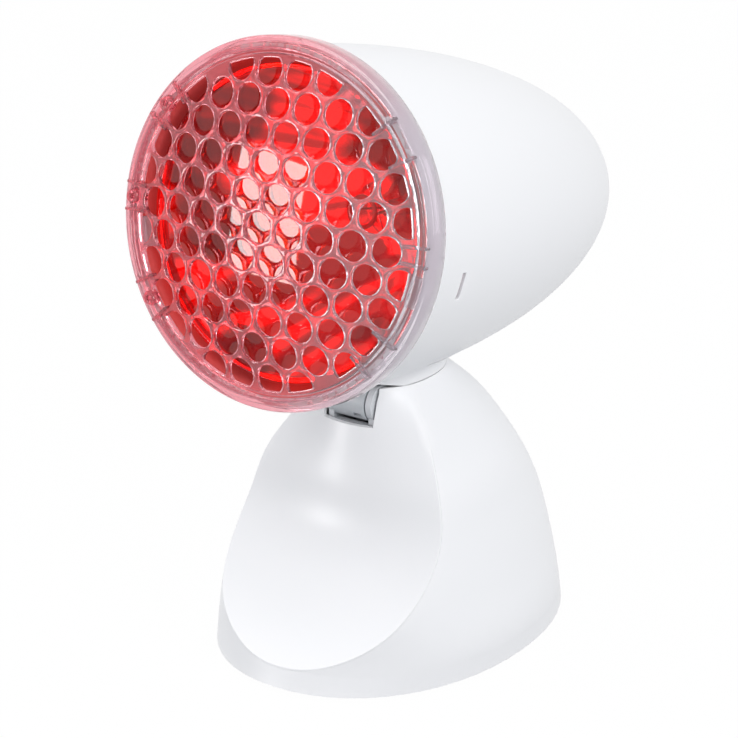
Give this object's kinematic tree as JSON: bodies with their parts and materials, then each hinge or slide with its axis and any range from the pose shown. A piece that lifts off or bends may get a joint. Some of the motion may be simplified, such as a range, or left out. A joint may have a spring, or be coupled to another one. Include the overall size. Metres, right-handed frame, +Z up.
{
  "type": "infrared heat therapy lamp",
  "caption": "Table heat lamp: bullet shaped head with a clear perforated dome guard over a red reflector bulb, tilting on a bell shaped stand with a petal shaped front panel.",
  "frame": {"origin": "middle of the footprint, on the table plane under the rubber feet", "axes": "+Z up, the lamp face looks towards -Y, +X is on the right of somebody standing behind the lamp"},
  "size_m": [0.142, 0.2339, 0.263],
  "materials": {
    "shell_white": "glossy injection moulded, white",
    "guard_clear": "clear, polished",
    "ruby_glass": "ruby red, smooth",
    "clear_glass": "clear",
    "black_glass": "black, opaque",
    "mirror_metal": "rolled sheet",
    "nickel": "nickel plated",
    "tungsten": "drawn wire",
    "ceramic": "glazed ceramic",
    "brass": "pressed",
    "steel_screw": "zinc plated",
    "steel_strip": "pressed sheet",
    "frame_dark": "glass filled, matt",
    "grey_plastic": "grey, satin",
    "fibre": "fibre washer",
    "rubber": "matt black",
    "cast": "cast block",
    "switch_black": "black",
    "block_cream": "cream",
    "lead_red": "silicone sleeve"
  },
  "bodies": {
    "stand": {"hinge_pin": "steel_screw", "pin_clip": "steel_strip", "friction_washers": "fibre", "detent_spring": "steel_strip", "neck_frame": "grey_plastic", "frame_screws": "steel_screw", "front_panel": "shell_white", "panel_screws": "steel_screw", "rear_shell": "shell_white", "base_plate": "frame_dark", "base_screws": "steel_screw", "feet": "rubber", "ballast": "cast", "switch_body": "switch_black", "switch_tabs": "brass", "cord_gland": "shell_white", "gland_nut": "frame_dark", "terminal_block": "block_cream", "terminal_screws": "brass", "lead_stand": "lead_red"},
    "head": {"guard": "guard_clear", "head_shell": "shell_white", "neck_collar": "shell_white", "bulb_lens": "ruby_glass", "bulb_reflector": "ruby_glass", "bulb_cap": "nickel", "bulb_insulator": "black_glass", "bulb_contact": "nickel", "bulb_stem": "clear_glass", "filament": "tungsten", "lamp_holder": "ceramic", "holder_thread": "brass", "holder_contact": "brass", "holder_strap": "steel_strip", "strap_screws": "steel_screw", "thermal_cutout": "ceramic", "heat_shield": "mirror_metal", "tilt_bracket": "grey_plastic", "bracket_screws": "steel_screw", "lead_head": "lead_red"},
    "rocker": {"rocker": "switch_black"}
  },
  "joints": [
    {"name": "head_tilt", "type": "hinge", "parent": "stand", "child": "head", "pos_m": [0, -0.024, 0.106], "axis": [1, 0, 0], "range_deg": [0, 20]},
    {"name": "rocker_turn", "type": "hinge", "parent": "stand", "child": "rocker", "pos_m": [0, 0.07401, 0.04554], "axis": [1, 0, 0], "range_deg": [-14, 0]}
  ]
}
